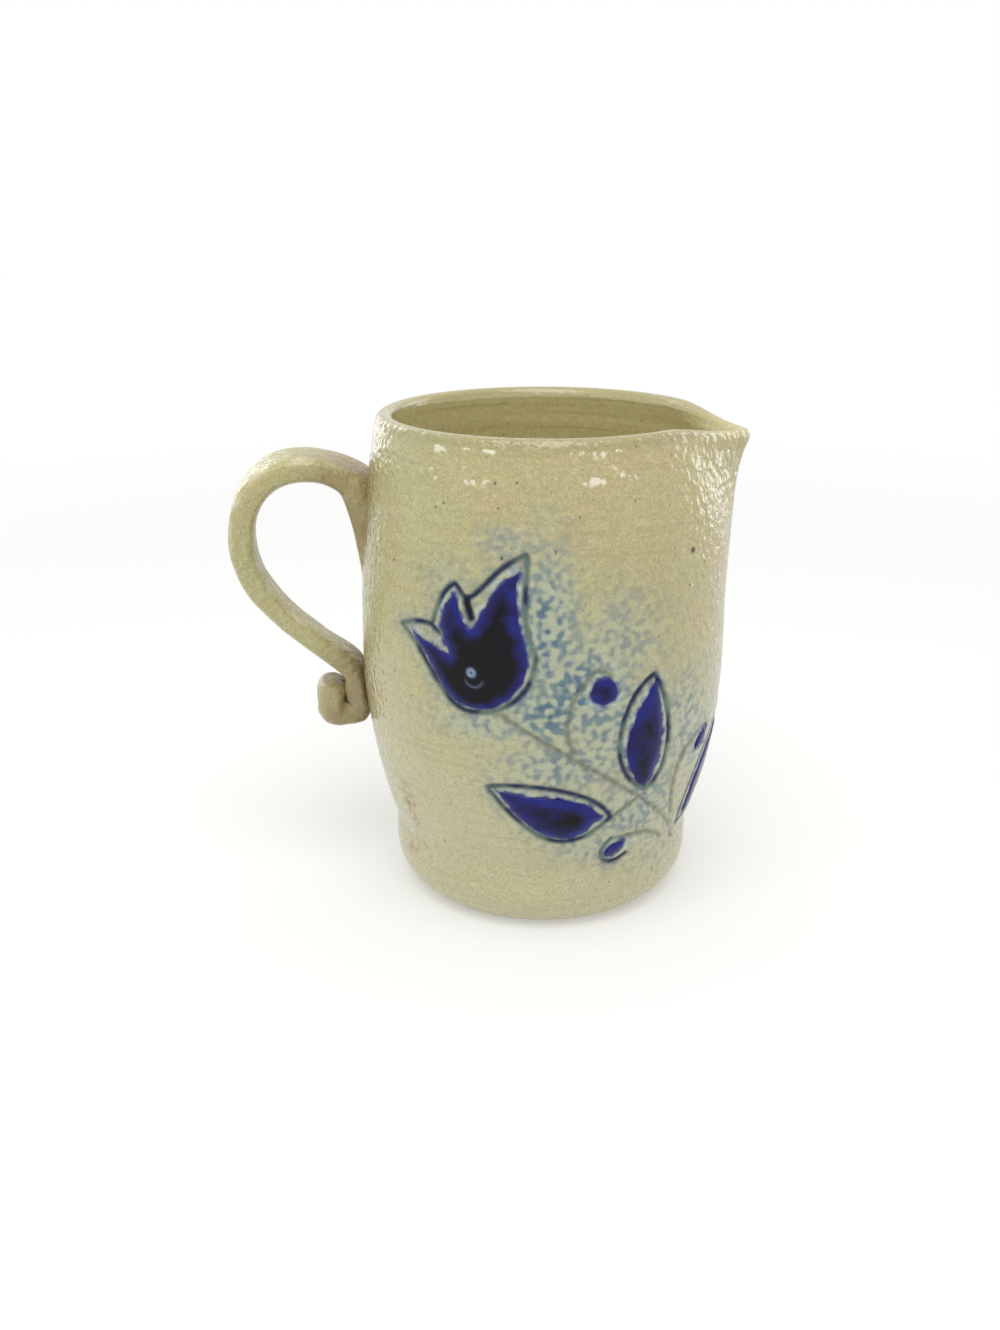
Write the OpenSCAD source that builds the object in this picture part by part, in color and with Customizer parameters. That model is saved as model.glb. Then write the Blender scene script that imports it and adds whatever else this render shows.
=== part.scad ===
// Salt-glazed stoneware pitcher: a thrown barrel with a pulled pouring lip, a pulled strap handle
// stuck on with clay slip, and pools of cobalt glaze on a tulip spray.
// Millimetres, +Z up. The origin is the centre of the flat base. The lip points along +X,
// the handle about along -X, and the decorated side faces -Y.

/* [Body] */
// Height from the base to the top of the rim
height = 127; // [118:0.5:140]
// Outside diameter at the widest part of the barrel
belly_d = 95.2; // [88:0.1:105]
// Height of the widest part
belly_z = 66; // [60:0.5:72]
// How far the wall draws in from the belly to the rim, on the radius
neck_draw = 5.2; // [3:0.1:8]
// How far the wall draws in from the belly to the foot, on the radius
foot_draw = 7.5; // [5:0.1:10]
// Height of the foot, up to the groove above it
foot_h = 18.5; // [16:0.5:22]
// Height of the rounded heel
heel_h = 10.5; // [8:0.5:13]
// How far the flat base lies inside the foot, on the radius
base_inset = 6.5; // [4:0.1:8]
// Depth of the groove turned above the foot
groove_depth = 0.4; // [0.2:0.1:0.8]
// Radius of the tool that turned the groove
groove_r = 3; // [2:0.1:4]
// Thickness of the wall
wall = 4.5; // [3.5:0.1:6]
// Thickness of the floor
floor_t = 6.5; // [5:0.1:9]
// Radius of the rounding between the floor and the wall, inside
floor_round = 12; // [8:0.5:14]

/* [Pouring lip] */
// Height where the wall starts to swell towards the lip
lip_start = 76; // [72:0.5:90]
// Half of the angle that the swelling takes up
lip_sector = 64; // [50:1:75]
// How far the tip stands out past the rim
lip_reach = 8.7; // [5:0.1:11]
// How far the tip droops below the rim
lip_droop = 3; // [1:0.1:5]
// Half of the angle over which the rim droops
droop_sector = 38; // [30:1:50]
// How far the wall below the lip is pushed out
lip_swell = 1.9; // [0.5:0.1:3]
// Radius of the tip's outside, seen from above
tip_r = 3.6; // [2.5:0.1:5]
// Radius of the tip's inside, seen from above
tip_in_r = 0.9; // [0.6:0.1:2]
// Thickness of the clay at the tip
tip_wall = 2.8; // [2:0.1:4]

/* [Handle] */
// Bearing of the handle past the point straight across from the lip, in degrees
handle_turn = 9; // [0:0.5:12]
// How far the strap leans round from the wall's radius, in degrees
handle_lean = 12; // [0:0.5:15]
// How far the middle of the upper root lies below the rim
root_drop = 22.5; // [21:0.5:25]
// How far below the rim the handle stands out furthest
bow_drop = 33; // [30:0.5:36]
// How far the middle of the strap stands out past the belly there
handle_reach = 30.5; // [28:0.1:36]
// Height where the lower arm starts to turn down along the wall
arm_z = 60; // [59:0.5:63]
// Distance of the lower arm from the wall at that height
arm_stand = 5.7; // [5:0.1:6.5]
// Slope of the lower arm there, in degrees from level
arm_slope = 40; // [36:1:44]
// Height of the middle of the rolled tail
roll_z = 49.8; // [48:0.1:50.5]
// Radius of the space left inside the tail's tight roll
roll_gap = 0.2; // [0.1:0.1:0.6]
// How far the tail's end stands up past the middle of the roll
tail_rise = 0.7; // [0.3:0.1:1.5]
// Thickness of the strap at the arch
strap_t = 6.8; // [5:0.1:8]
// Thickness of the strap where it stands out furthest
bow_t = 7; // [6:0.1:9]
// Thickness of the lower arm
arm_t = 5.8; // [5:0.1:7]
// Thickness of the strap where it is pressed on the wall
pressed_t = 4.8; // [4:0.1:6]
// Thickness of the rolled tail
roll_t = 7.8; // [7:0.1:8.4]
// Width of the upper root
root_w = 20; // [18:0.5:24]
// Width of the strap at the arch
strap_w = 20; // [16:0.5:22]
// Width of the lower arm
arm_w = 14; // [11:0.5:17]
// Width of the rolled tail
roll_w = 14; // [11:0.5:17]
// How far the root is smeared down the wall
smear_h = 13; // [8:0.5:20]

/* [Slip joints] */
// Thickness of the slip that the handle is stuck on with
slip_t = 0.6; // [0.4:0.1:1]
// How far the slip squeezes out past the handle
slip_bead = 1.2; // [0.6:0.1:2]

/* [Cobalt glaze] */
// Thickness of the pooled glaze
pool_t = 0.5; // [0.3:0.1:0.8]
// Bearing of the tulip round the wall, in degrees from the lip
tulip_az = -100; // [-110:1:-90]
// Height of the tulip's middle
tulip_z = 82; // [80:0.5:84]
// Width of the tulip's pool
tulip_w = 28.5; // [26:0.1:31]
// Bearing of the low leaf
low_leaf_az = -75; // [-80:1:-70]
// Height of the low leaf's middle
low_leaf_z = 36; // [34:0.5:40]
// Length of the low leaf's pool
low_leaf_l = 25.7; // [23:0.1:28]
// Bearing of the side leaf
side_leaf_az = -48; // [-52:1:-44]
// Height of the side leaf's middle
side_leaf_z = 57; // [54:0.5:60]
// Length of the side leaf's pool
side_leaf_l = 28.8; // [26:0.1:31]
// Bearing of the berry
berry_az = -62; // [-66:1:-58]
// Height of the berry's middle
berry_z = 69; // [66:0.5:72]
// Diameter of the berry
berry_d = 6.2; // [4:0.1:8]
// Bearing of the low bud
low_bud_az = -54; // [-58:1:-50]
// Height of the low bud's middle
low_bud_z = 23.5; // [23:0.5:26]
// Length of the low bud's pool
low_bud_l = 6.4; // [5:0.1:8]
// Bearing of the far bud
far_bud_az = -19; // [-22:1:-16]
// Height of the far bud's middle
far_bud_z = 48; // [46:0.5:50]
// Length of the far bud's pool
far_bud_l = 5.7; // [5:0.1:7]
// Bearing of the far leaf
far_leaf_az = -6; // [-9:1:-3]
// Height of the far leaf's middle
far_leaf_z = 37; // [36:0.5:40]
// Length of the far leaf's pool
far_leaf_l = 24; // [22:0.1:26]

/* [Hidden] */
$fn = 96;
// Facets of the large circles that the barrel's long curves are taken from
arc_fn = 720;

clay_color = [0.68, 0.64, 0.52];
slip_color = [0.62, 0.58, 0.46];
cobalt_color = [0.07, 0.08, 0.36];

// Radius of an arc that starts upright and draws in by dr over a height dz
function arc_radius(dr, dz) = (dr * dr + dz * dz) / (2 * dr);
function mix(a, b, t) = a + (b - a) * t;

belly_r = belly_d / 2;
rim_r = belly_r - neck_draw;
foot_r = belly_r - foot_draw;
lip_z = height - wall / 2;
upper_arc = arc_radius(neck_draw, lip_z - belly_z);
lower_arc = arc_radius(foot_draw, belly_z - foot_h);
heel_arc = arc_radius(base_inset, heel_h);

// Radius of the barrel at a height: o is the distance outside the wall's outer face
function arc_at(z, arc, o) = belly_r - arc + sqrt((arc + o) * (arc + o) - (z - belly_z) * (z - belly_z));
function wall_at(z, o = 0) = arc_at(z, z > belly_z ? upper_arc : lower_arc, o);

// Half of the barrel's section, from the axis out to o past the wall, between two heights
module barrel_half(o, low, high) {
    intersection() {
        translate([belly_r - upper_arc, belly_z]) circle(upper_arc + o, $fn = arc_fn);
        translate([0, belly_z]) square([belly_d, high - belly_z]);
    }
    intersection() {
        translate([belly_r - lower_arc, belly_z]) circle(lower_arc + o, $fn = arc_fn);
        translate([0, low]) square([belly_d, belly_z - low]);
    }
}

module foot_half() {
    square([foot_r - heel_arc, heel_h]);
    intersection() {
        translate([foot_r - heel_arc, heel_h]) circle(heel_arc, $fn = arc_fn);
        square([belly_d, heel_h]);
    }
    translate([0, heel_h]) square([foot_r, foot_h - heel_h]);
}

// Half of the hollow: the barrel inside the wall, with a rounded floor
module hollow_half() {
    round_z = floor_t + floor_round;
    round_x = wall_at(round_z, -wall) - floor_round;
    barrel_half(-wall, round_z, height);
    translate([0, floor_t]) square([round_x, floor_round]);
    intersection() {
        translate([round_x, round_z]) circle(floor_round);
        translate([0, floor_t]) square([belly_d, floor_round]);
    }
}

// Half of the wall's section, with a rounded rim
module wall_half() {
    outer = wall_at(lip_z);
    inner = wall_at(lip_z, -wall);
    difference() {
        union() {
            barrel_half(0, foot_h, lip_z);
            foot_half();
        }
        hollow_half();
        translate([foot_r + groove_r - groove_depth, foot_h]) circle(groove_r);
    }
    intersection() {
        translate([(outer + inner) / 2, lip_z]) circle((outer - inner) / 2);
        translate([0, lip_z]) square([belly_d, wall]);
    }
}

// The wall between two heights, and between the ends of a turn about the axis
module wall_turn(low, high, from, turn) {
    rotate([0, 0, from]) rotate_extrude(angle = turn) intersection() {
        wall_half();
        translate([0, low]) square([belly_d, high - low]);
    }
}

// Shares of the lip's pull that rise as the square and as the fifth power of the height
slow_pull = 0.08;
fast_pull = 0.92;
// Brings the swelling's curve to 1 at its top
swell_peak = 27 / 4;
// Pulled lip: the wall's section carried round the lip's sector, each point pushed out to a teardrop
lip_rows = 12;
lip_round_steps = 8;
lip_turn_steps = 44;
// How far the lip's clay laps into the wall around it, and how far it lies inside the wall's faces
lap = 2;
lap_inset = 0.06;

// The section as [radius, height, share of the way from the inside to the outside]
function lip_section() =
    let (
        outer = wall_at(lip_z, -lap_inset),
        inner = wall_at(lip_z, lap_inset - wall),
        heights = [for (i = [0:lip_rows]) mix(lip_z, lip_start - lap, pow(1 - i / lip_rows, 1.6))],
        turns = [for (i = [1:lip_round_steps - 1]) 180 * i / lip_round_steps]
    )
    concat(
        [for (z = heights) [wall_at(z, -lap_inset), z, 1]],
        [for (a = turns) [
            (outer + inner) / 2 + (outer - inner) / 2 * cos(a),
            lip_z + (outer - inner) / 2 * sin(a),
            (1 + cos(a)) / 2
        ]],
        [for (i = [0:lip_rows]) let (z = heights[lip_rows - i]) [wall_at(z, lap_inset - wall), z, 0]]
    );

// Radius of a teardrop at an angle: a circle of radius r and a tip circle t, joined by tangents
function teardrop(a, r, t, reach) =
    let (
        tip_x = r - t + reach,
        tangent = acos(min(1, (r - t) / tip_x)),
        tip_end = atan2(t * sin(tangent), tip_x + t * cos(tangent))
    )
    abs(a) >= tangent ? r
    : abs(a) >= tip_end ? r / cos(tangent - abs(a))
    : tip_x * cos(a) + sqrt(t * t - pow(tip_x * sin(a), 2));

// A hump over a half angle, level at its ends
function hump(a, half) = abs(a) < half ? pow(cos(90 * a / half), 2) : 0;

function lip_point(a, p) =
    let (
        s = max(0, min(1, (p[1] - lip_start) / (lip_z - lip_start))),
        pull = slow_pull * s * s + fast_pull * pow(s, 5),
        reach = pull * (lip_reach + (1 - p[2]) * (wall - tip_wall)),
        swell = lip_swell * swell_peak * s * s * (1 - s) * hump(a, lip_sector),
        r = teardrop(a, p[0], mix(tip_in_r, tip_r, p[2]), reach) + swell
    )
    [r * cos(a), r * sin(a), p[1] - lip_droop * pow(s, 3) * hump(a, droop_sector)];

// Triangles across a ring of n points, in a strip between its two halves
function ring_cap(n) = [
    for (j = [0:floor((n - 3) / 2)])
        let (a = j, b = j + 1, c = n - 2 - j, d = n - 1 - j)
        each b == c ? [[a, b, d]] : [[a, b, d], [b, c, d]]
];

// Joins rings of equal length into a closed solid
module loft(rings) {
    n = len(rings[0]);
    m = len(rings);
    points = [for (ring = rings) each ring];
    sides = [
        for (i = [0:m - 2], j = [0:n - 1])
            let (a = i * n + j, b = i * n + (j + 1) % n)
            each [[a, a + n, b], [b, a + n, b + n]]
    ];
    first = ring_cap(n);
    last = [for (t = ring_cap(n)) [for (k = [2, 1, 0]) t[k] + (m - 1) * n]];
    polyhedron(points, concat(sides, first, last), convexity = 6);
}

module pulled_lip() {
    section = lip_section();
    // Steps are closer together towards the tip
    steps = [for (i = [0:lip_turn_steps]) 1 - 2 * i / lip_turn_steps];
    lap_angle = lap / rim_r * 180 / PI;
    angles = [for (t = steps) (lip_sector + lap_angle) * sign(t) * pow(abs(t), 1.15)];
    loft([for (a = angles) [for (p = section) lip_point(a, p)]]);
}

module body() {
    color(clay_color) {
        wall_turn(0, lip_start, 0, 360);
        wall_turn(lip_start, height + 1, lip_sector, 360 - 2 * lip_sector);
        pulled_lip();
    }
}

// Strap handle: rings along a path of curves in the handle's plane, as [distance out, height]
// How deep in the wall the strap's upper end starts
root_sink = 2;
root_z = height - root_drop;
bow_z = height - bow_drop;
bow_x = belly_r + handle_reach;
root_x = wall_at(root_z) - root_sink;
arm_x = wall_at(arm_z) + arm_stand;
roll_x = wall_at(roll_z) + pressed_t / 2;
roll_r = roll_t / 2 + roll_gap;
tail_x = roll_x + 2 * roll_r;
arm_dir = [-cos(arm_slope), -sin(arm_slope)];
arm_drop = bow_z - arm_z;
press_drop = arm_z - roll_z;
// Distances of the curves' control points from their ends, as shares of the reach or the drop
root_pull = [0.46, 0.46];
arch_pull = 0.72;
bow_pull = 0.41;
arm_pull = 0.47;
press_pull = 0.34;
wall_pull = 0.48;

function bezier(p, t) =
    pow(1 - t, 3) * p[0] + 3 * t * pow(1 - t, 2) * p[1] + 3 * t * t * (1 - t) * p[2] + pow(t, 3) * p[3];

arch = [
    [root_x, root_z],
    [root_x, root_z] + root_pull * handle_reach,
    [bow_x, bow_z + arch_pull * handle_reach],
    [bow_x, bow_z]
];
arm = [
    [bow_x, bow_z],
    [bow_x, bow_z - bow_pull * arm_drop],
    [arm_x, arm_z] - arm_pull * arm_drop * arm_dir,
    [arm_x, arm_z]
];
press = [
    [arm_x, arm_z],
    [arm_x, arm_z] + press_pull * press_drop * arm_dir,
    [roll_x, roll_z + wall_pull * press_drop],
    [roll_x, roll_z]
];

// The path's stations run from 0 at the upper root through 1 at the bow, 2 where the lower arm meets
// the wall, 3 where the roll starts and 4 where it has turned up, to 5 at the end of the tail
path_end = 5;
function path(q) =
    q <= 1 ? bezier(arch, q)
    : q <= 2 ? bezier(arm, q - 1)
    : q <= 3 ? bezier(press, q - 2)
    : q <= 4 ? [roll_x + roll_r - roll_r * cos(180 * (q - 3)), roll_z - roll_r * sin(180 * (q - 3))]
    : [tail_x, roll_z + tail_rise * (q - 4)];

// Unit direction along the path, and the strap's outer side to the left of it
function along(q) =
    let (d = path(min(q + 0.01, path_end)) - path(max(q - 0.01, 0)))
    d / norm(d);
function outward(q) = [-along(q)[1], along(q)[0]];

// Stations where the path leaves the wall and where the root's smear ends
root_out = root_sink / (3 * root_pull[0] * handle_reach);
smear_end = 0.16;
thickness = [
    [0, strap_t], [0.5, strap_t], [1, bow_t], [1.6, arm_t], [2, arm_t],
    [2.6, pressed_t], [3, pressed_t], [3.4, roll_t], [path_end, roll_t]
];
width = [
    [0, root_w], [smear_end, strap_w], [0.45, strap_w], [1, (arm_w + strap_w) / 2],
    [1.6, arm_w], [2.8, arm_w], [3.4, roll_w], [path_end, roll_w]
];
// Sides of a ring, and how square its corners are
ring_sides = 20;
ring_square = 0.52;
// Distance out from the belly over which the strap turns to its full lean
lean_run = 12;

function rounded(c) = sign(c) * pow(abs(c), ring_square);

function lean(x) =
    let (t = max(0, min(1, (x - belly_r) / lean_run)))
    handle_lean * t * t * (3 - 2 * t);

// One ring between an outer and an inner point of the strap, turned to its lean at the wall
function strap_ring(outer, inner, w) =
    let (
        middle = (outer + inner) / 2,
        lean = lean(middle[0])
    )
    [
        for (k = [0:ring_sides - 1])
            let (
                a = 360 * k / ring_sides,
                p = middle + (outer - inner) / 2 * rounded(cos(a)),
                out = p[0] - belly_r,
                y = w / 2 * rounded(sin(a))
            )
            [-belly_r - out * cos(lean) - y * sin(lean), y * cos(lean) - out * sin(lean), p[1]]
    ];

function station_ring(q) =
    let (
        side = outward(q) * lookup(q, thickness) / 2,
        smear = smear_h * pow(max(0, (smear_end - q) / (smear_end - root_out)), 2)
    )
    strap_ring(path(q) + side, path(q) - side - [0, smear], lookup(q, width));

// The tail's end is domed
dome_angles = [25, 50, 75];
dome_narrowing = 0.7;
function dome_ring(a) =
    let (
        side = outward(path_end) * roll_t / 2 * cos(a),
        middle = path(path_end) + along(path_end) * roll_t / 2 * sin(a)
    )
    strap_ring(middle + side, middle - side, roll_w * mix(dome_narrowing, 1, cos(a)));

// Stations evenly spread over one part of the path, after its start
function spread(from, to, n) = [for (i = [1:n]) mix(from, to, i / n)];
stations = concat(
    [0], spread(0, smear_end, 8), spread(smear_end, 1, 11), spread(1, 2, 12), spread(2, 3, 5),
    spread(3, 4, 12), spread(4, path_end, 2)
);

module strap() {
    loft(concat(
        [for (q = stations) station_ring(q)],
        [for (a = dome_angles) dome_ring(a)]
    ));
}

// A solid barrel that stands o outside the wall
module barrel(o) {
    rotate_extrude() barrel_half(o, foot_h, lip_z);
}

module handle() {
    color(clay_color) difference() {
        rotate([0, 0, handle_turn]) strap();
        barrel(slip_t);
    }
}

// A skin of thickness t on the wall, cut to a flat outline that faces the wall at a bearing and height
module wall_skin(az, z, t) {
    difference() {
        intersection() {
            rotate([0, 0, az]) translate([foot_r / 2, 0, z]) rotate([90, 0, 90])
                linear_extrude(belly_r) children();
            barrel(t);
        }
        barrel(0);
    }
}

// An oval outline with its corners squared as the strap's are
module oval(w, h) {
    polygon([
        for (k = [0:2 * ring_sides - 1])
            let (a = 180 * k / ring_sides)
            [w / 2 * rounded(cos(a)), h / 2 * rounded(sin(a))]
    ]);
}

module upper_slip() {
    top = root_z + strap_t / 2;
    bottom = root_z - strap_t / 2 - smear_h;
    color(slip_color) wall_skin(180 + handle_turn, (top + bottom) / 2, slip_t)
        oval(root_w + 2 * slip_bead, top - bottom + 4 * slip_bead);
}

module lower_slip() {
    top = arm_z;
    bottom = roll_z - roll_r;
    color(slip_color) wall_skin(180 + handle_turn, (top + bottom) / 2, slip_t)
        oval(roll_w + 2 * slip_bead, top - bottom + 2 * slip_bead);
}

// A closed outline of curves, each given as its start and its two control points, in shares of a size
curve_steps = 10;
module curved_outline(size, curves) {
    n = len(curves);
    polygon([
        for (i = [0:n - 1], j = [0:curve_steps - 1])
            size * bezier(concat(curves[i], [curves[(i + 1) % n][0]]), j / curve_steps)
    ]);
}

module pool(az, z) {
    color(cobalt_color) wall_skin(az, z, pool_t) children();
}

module tulip_glaze() {
    pool(tulip_az, tulip_z) curved_outline(tulip_w, [
        [[-0.57, -0.08], [-0.42, -0.14], [-0.3, -0.17]],
        [[-0.2, -0.18], [-0.25, -0.06], [-0.36, 0.11]],
        [[-0.18, 0.33], [-0.11, 0.25], [-0.12, 0.04]],
        [[-0.02, 0.05], [0.11, 0.05], [0.09, 0.32]],
        [[0.38, 0.55], [0.27, 0.33], [0.43, 0.07]],
        [[0.43, -0.16], [0.43, -0.44], [0.26, -0.62]],
        [[0.04, -0.62], [-0.3, -0.62], [-0.3, -0.33]]
    ]);
}

module low_leaf_glaze() {
    pool(low_leaf_az, low_leaf_z) curved_outline(low_leaf_l, [
        [[-0.57, 0.27], [-0.31, 0.16], [0.23, 0.27]],
        [[0.43, -0.05], [0.19, -0.33], [-0.04, -0.47]]
    ]);
}

module side_leaf_glaze() {
    pool(side_leaf_az, side_leaf_z) curved_outline(side_leaf_l, [
        [[0.09, 0.44], [-0.1, 0.21], [-0.35, -0.24]],
        [[0.06, -0.56], [0.24, -0.28], [0.16, 0.07]]
    ]);
}

module berry_glaze() {
    pool(berry_az, berry_z) circle(d = berry_d);
}

module low_bud_glaze() {
    pool(low_bud_az, low_bud_z) curved_outline(low_bud_l, [
        [[-0.37, -0.3], [-0.31, 0.25], [0.23, 0.41]],
        [[0.62, 0.25], [0.69, -0.37], [0, -0.5]]
    ]);
}

module far_bud_glaze() {
    pool(far_bud_az, far_bud_z) curved_outline(far_bud_l, [
        [[-0.56, -0.39], [-0.63, 0.18], [0, 0.53]],
        [[0.44, 0.37], [0.6, -0.32], [-0.09, -0.7]]
    ]);
}

module far_leaf_glaze() {
    pool(far_leaf_az, far_leaf_z) curved_outline(far_leaf_l, [
        [[-0.35, -0.5], [-0.5, -0.08], [-0.17, 0.33]],
        [[0.15, 0.5], [0.21, 0.17], [0.08, -0.33]]
    ]);
}

body();
handle();
upper_slip();
lower_slip();
tulip_glaze();
low_leaf_glaze();
side_leaf_glaze();
berry_glaze();
low_bud_glaze();
far_bud_glaze();
far_leaf_glaze();
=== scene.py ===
"""Salt-glazed stoneware pitcher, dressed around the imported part. Shapes are worked out in millimetres."""

import math

import bpy
import numpy as np
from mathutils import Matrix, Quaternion, Vector, kdtree, noise
from mathutils.geometry import delaunay_2d_cdt


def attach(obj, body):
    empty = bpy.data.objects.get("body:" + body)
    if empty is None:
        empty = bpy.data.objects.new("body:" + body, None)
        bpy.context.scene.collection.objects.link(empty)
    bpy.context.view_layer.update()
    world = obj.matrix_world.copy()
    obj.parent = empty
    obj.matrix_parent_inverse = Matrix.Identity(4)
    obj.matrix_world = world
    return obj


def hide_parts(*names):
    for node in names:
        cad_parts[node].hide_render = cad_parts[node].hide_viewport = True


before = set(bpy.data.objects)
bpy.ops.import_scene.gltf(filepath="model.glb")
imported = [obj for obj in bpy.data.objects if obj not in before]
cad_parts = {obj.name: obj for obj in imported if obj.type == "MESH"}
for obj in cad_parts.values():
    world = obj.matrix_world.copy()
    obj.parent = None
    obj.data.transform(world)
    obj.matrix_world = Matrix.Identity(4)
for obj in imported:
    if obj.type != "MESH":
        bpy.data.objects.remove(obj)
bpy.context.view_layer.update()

MM = 0.001

# Without a seed each run would fray the pools another way
NOISE_SEED = 7
noise.seed_set(NOISE_SEED)

# Body, as in the part's source
HEIGHT = 127.0
BELLY_R = 47.6
BELLY_Z = 66.0
NECK_DRAW = 5.2
FOOT_DRAW = 7.5
FOOT_H = 18.5
HEEL_H = 10.5
BASE_INSET = 6.5
HOLLOW_DEPTH = 0.4
HOLLOW_HALF = 2.2
WALL = 4.5
FLOOR_T = 6.5
FLOOR_ROUND = 12.0
LIP_START = 76.0
LIP_DEGREES = 64
LIP_SECTOR = math.radians(LIP_DEGREES)
LIP_REACH = 8.7
LIP_DROOP = 3.0
DROOP_SECTOR = math.radians(38)
LIP_SWELL = 1.9
TIP_R = 3.6
TIP_IN_R = 0.9
TIP_WALL = 2.8

# Handle
HANDLE_TURN = 9.0
HANDLE_LEAN = 12.0
LEAN_RUN = 12.0
ROOT_Z = 104.5
ROOT_SINK = 2.0
BOW_Z = 94.0
HANDLE_REACH = 30.5
ARM_Z = 60.0
ARM_STAND = 5.7
ARM_SLOPE = math.radians(40)
ROLL_Z = 49.8
ROLL_GAP = 0.2
TAIL_RISE = 0.7
STRAP_T = 6.8
BOW_T = 7.0
ARM_T = 5.8
PRESSED_T = 4.8
ROLL_T = 7.8
ROLL_R = ROLL_T / 2 + ROLL_GAP
ROOT_W = 20.0
STRAP_W = 20.0
ARM_W = 14.0
ROLL_W = 14.0
SMEAR_H = 13.0
SMEAR_END = 0.16
RING_SQUARE = 0.52

# Thin layers on the wall
SLIP_T = 0.6
SLIP_BEAD = 1.2
POOL_T = 0.5


def mix(a, b, t):
    return a + (b - a) * t


def ramp(x, low, high):
    """0 below low, 1 above high, and smooth between."""
    t = np.clip((x - low) / (high - low), 0, 1)
    return t * t * (3 - 2 * t)


def bell(x, half, middle=0.0):
    """1 at the middle, falling off to either side."""
    return np.exp(-((x - middle) / half) ** 2)


def squared(c, square):
    """A sine or cosine for a squarer ring: 1 is round, and less is squarer."""
    return np.sign(c) * np.abs(c) ** square


def arc_radius(draw, rise):
    """Radius of an arc that starts upright and draws in over a rise."""
    return (draw * draw + rise * rise) / (2 * draw)


LIP_Z = HEIGHT - WALL / 2
FOOT_R = BELLY_R - FOOT_DRAW
UPPER_ARC = arc_radius(NECK_DRAW, LIP_Z - BELLY_Z)
LOWER_ARC = arc_radius(FOOT_DRAW, BELLY_Z - FOOT_H)
HEEL_ARC = arc_radius(BASE_INSET, HEEL_H)


def wall_at(z, out=0.0):
    """Radius of the barrel at a height, out past the wall's outer face."""
    arc = np.where(np.asarray(z) > BELLY_Z, UPPER_ARC, LOWER_ARC)
    return BELLY_R - arc + np.sqrt((arc + out) ** 2 - (z - BELLY_Z) ** 2)


def curve_at(p, t):
    """A point of the curve with ends p[0] and p[3] and controls p[1] and p[2]."""
    return (1 - t) ** 3 * p[0] + 3 * t * (1 - t) ** 2 * p[1] + 3 * t * t * (1 - t) * p[2] + t ** 3 * p[3]


def bezier(points, steps):
    """Points along a curve with two ends and two controls, without the last end."""
    t = np.linspace(0, 1, steps, endpoint=False)[:, None]
    return curve_at(np.array(points, float), t)


def closed_curves(curves, steps):
    """A closed outline of curves, each given as its start and its two controls."""
    ends = [curve[0] for curve in curves[1:]] + [curves[0][0]]
    return np.vstack([bezier([*curve, end], steps) for curve, end in zip(curves, ends)])


def on_wall(bearing, height, uv):
    """Bearings in radians and heights of flat points that face the wall at a bearing and height."""
    z = height + uv[:, 1]
    return np.radians(bearing) + np.arcsin(uv[:, 0] / wall_at(z)), z


# Pools of cobalt glaze: bearing and height of the middle, then the outline facing the wall there
POOLS = {
    "tulip_glaze": (-100, 82, [
        [(-16.2, -2.2), (-12, -3.9), (-8.5, -4.9)],
        [(-5.8, -5.2), (-7.2, -1.6), (-10.2, 3)],
        [(-5.2, 9.3), (-3.2, 7), (-3.4, 1.2)],
        [(-0.6, 1.3), (1.6, 2.2), (2.8, 10.5)],
        [(10.9, 15.8), (8.4, 9.5), (11.8, 2)],
        [(12.8, -4.5), (12.6, -12.5), (7.5, -17.7)],
        [(1, -17.7), (-8.5, -17.7), (-8.5, -9.5)],
    ]),
    "low_leaf_glaze": (-75, 36, [
        [(-14.6, 6.9), (-8, 4), (6, 7)],
        [(11.1, -1.4), (5, -8.5), (-1, -12)],
    ]),
    "side_leaf_glaze": (-48, 57, [
        [(2.6, 12.8), (-3, 6), (-10, -7)],
        [(1.7, -16), (7, -8), (4.5, 2)],
    ]),
    "berry_glaze": (-62, 69, [
        [(-3.1, 0), (-3.1, 1.7), (-1.7, 3.1)],
        [(0, 3.1), (1.7, 3.1), (3.1, 1.7)],
        [(3.1, 0), (3.1, -1.7), (1.7, -3.1)],
        [(0, -3.1), (-1.7, -3.1), (-3.1, -1.7)],
    ]),
    "low_bud_glaze": (-54, 23.5, [
        [(-2.1, -1.4), (-2, 1.6), (1.3, 2.6)],
        [(3, 1.5), (3.8, -1.8), (-1.2, -3.3)],
    ]),
    "far_bud_glaze": (-19, 48, [
        [(-3.2, -2.2), (-3.6, 1), (0, 3)],
        [(2.5, 2.1), (3.4, -1.8), (-0.5, -4)],
    ]),
    "far_leaf_glaze": (-6, 37, [
        [(-8.5, -12), (-12, -2), (-4, 8)],
        [(3.5, 12), (5, 4), (2, -8)],
    ]),
}

# Incised outlines round the pools, in the same flat coordinates
TULIP_LINE = [
    [(-20.5, -0.8), (-17.5, 0.8), (-14, 1.6)],
    [(-11.2, 1.1), (-9.8, 2.8), (-9.6, 9.2)],
    [(-4.8, 11.8), (-3.8, 11.2), (-2.6, 9)],
    [(-1.9, 8.8), (1.5, 9), (4.5, 16.5)],
    [(12.1, 19.6), (13.2, 15), (10.6, 6)],
    [(14.7, -4), (15.4, -11.5), (9.5, -18.6)],
    [(0.5, -18.8), (-8, -20), (-11, -7)],
]
LOW_LEAF_LINE = [
    [(-16.8, 7.3), (-9, 10), (9.5, 8)],
    [(13.7, -2.2), (4.5, -10.5), (-2.5, -12.5)],
]
SIDE_LEAF_LINE = [
    [(2, 14.2), (-6.5, 12), (-13, -9)],
    [(2, -16.8), (9.5, -13), (9, 3)],
]
FAR_LEAF_LINE = [
    [(-10.5, -14.5), (-15, -2), (-6, 11)],
    [(5, 15), (8.5, 4), (4, -10)],
]
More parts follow.
